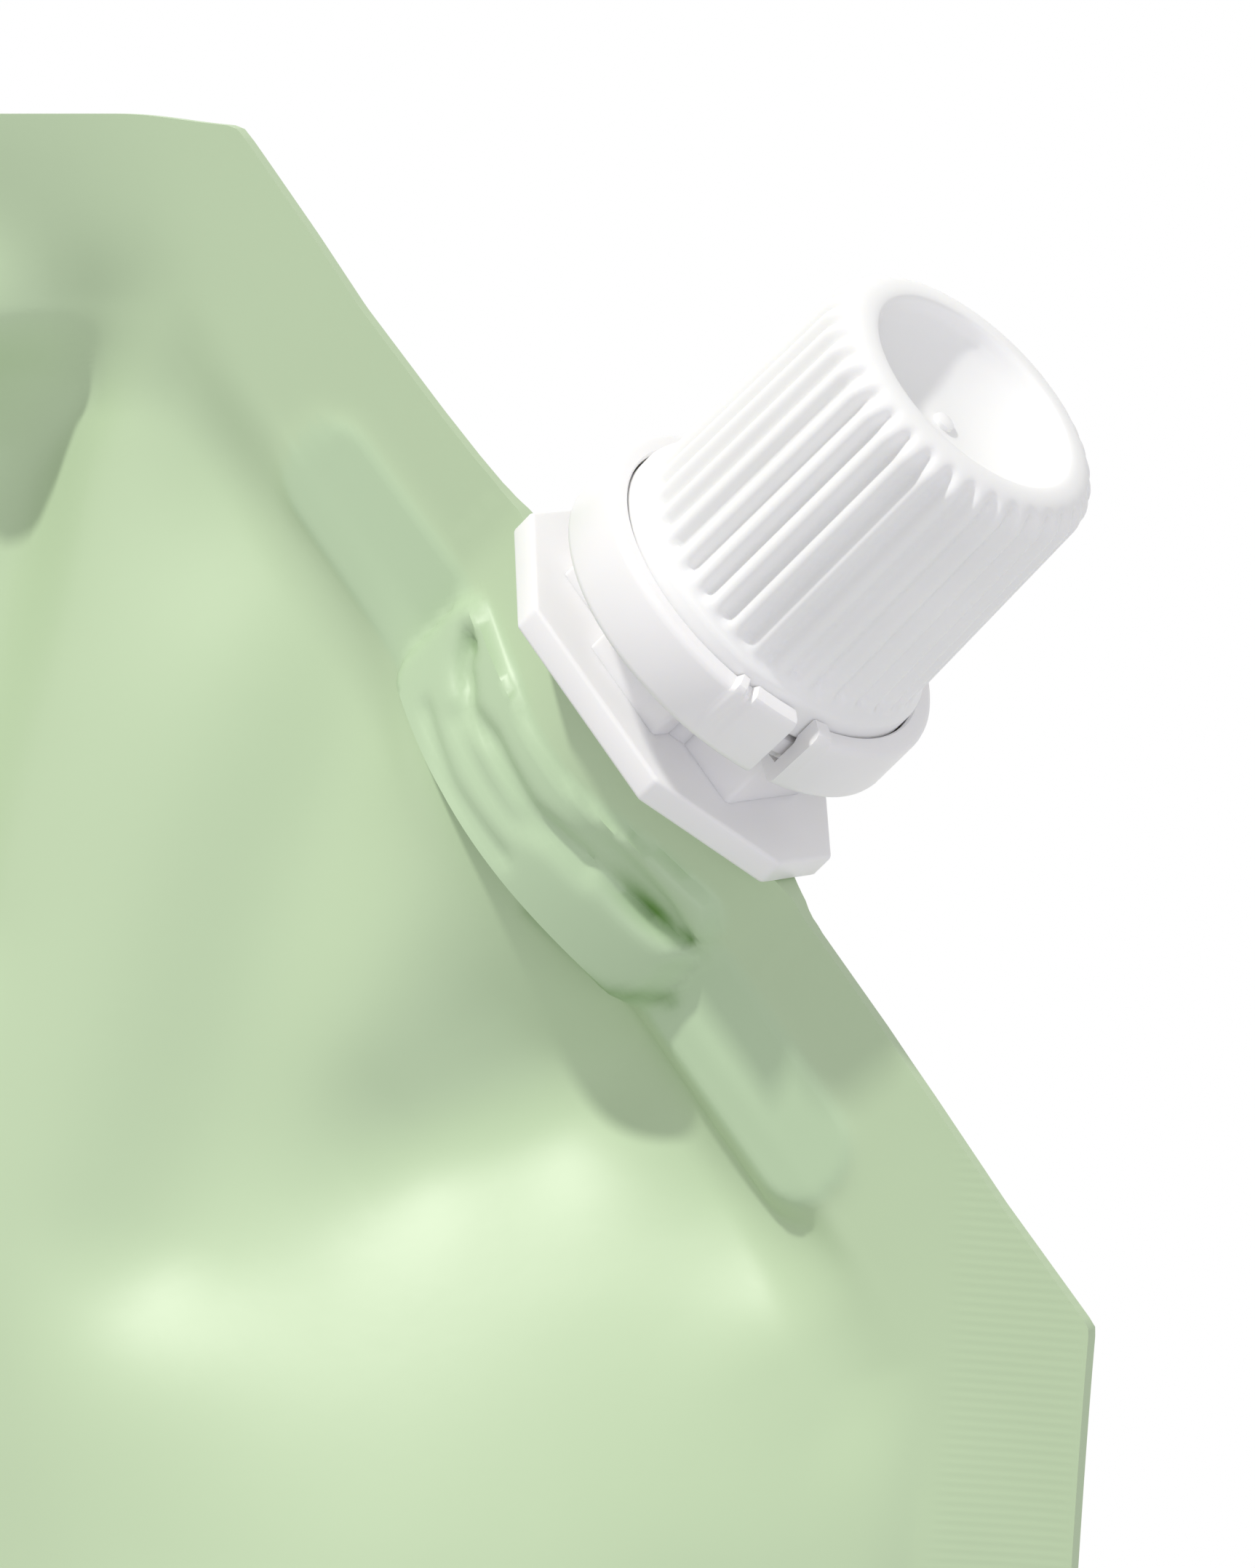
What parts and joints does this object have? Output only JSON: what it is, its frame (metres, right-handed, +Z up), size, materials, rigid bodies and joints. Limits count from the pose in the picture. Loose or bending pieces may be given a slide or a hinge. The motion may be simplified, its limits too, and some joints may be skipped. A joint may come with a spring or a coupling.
{
  "type": "spouted refill pouch",
  "caption": "Stand-up film pouch for shower gel refill, with a welded spout, a tamper band and a ribbed screw cap on its cut corner.",
  "frame": {"origin": "middle of the base rim, on the surface the pouch stands on", "axes": "+Z up, +X across the pouch towards the cut corner with the spout, -Y towards the front panel"},
  "size_m": [0.1699, 0.072, 0.25],
  "materials": {
    "laminate_film": "satin",
    "white_polyethylene": "semi-gloss",
    "white_polypropylene": "semi-gloss"
  },
  "bodies": {
    "pouch": {"pouch_body": "laminate_film", "spout": "white_polyethylene", "tamper_band": "white_polypropylene"},
    "cap": {"screw_cap": "white_polypropylene"}
  },
  "joints": [
    {"name": "cap_lift", "type": "slide", "parent": "pouch", "child": "cap", "axis": [0.7547, 0, 0.6561], "range_m": [0, 0.032]}
  ]
}
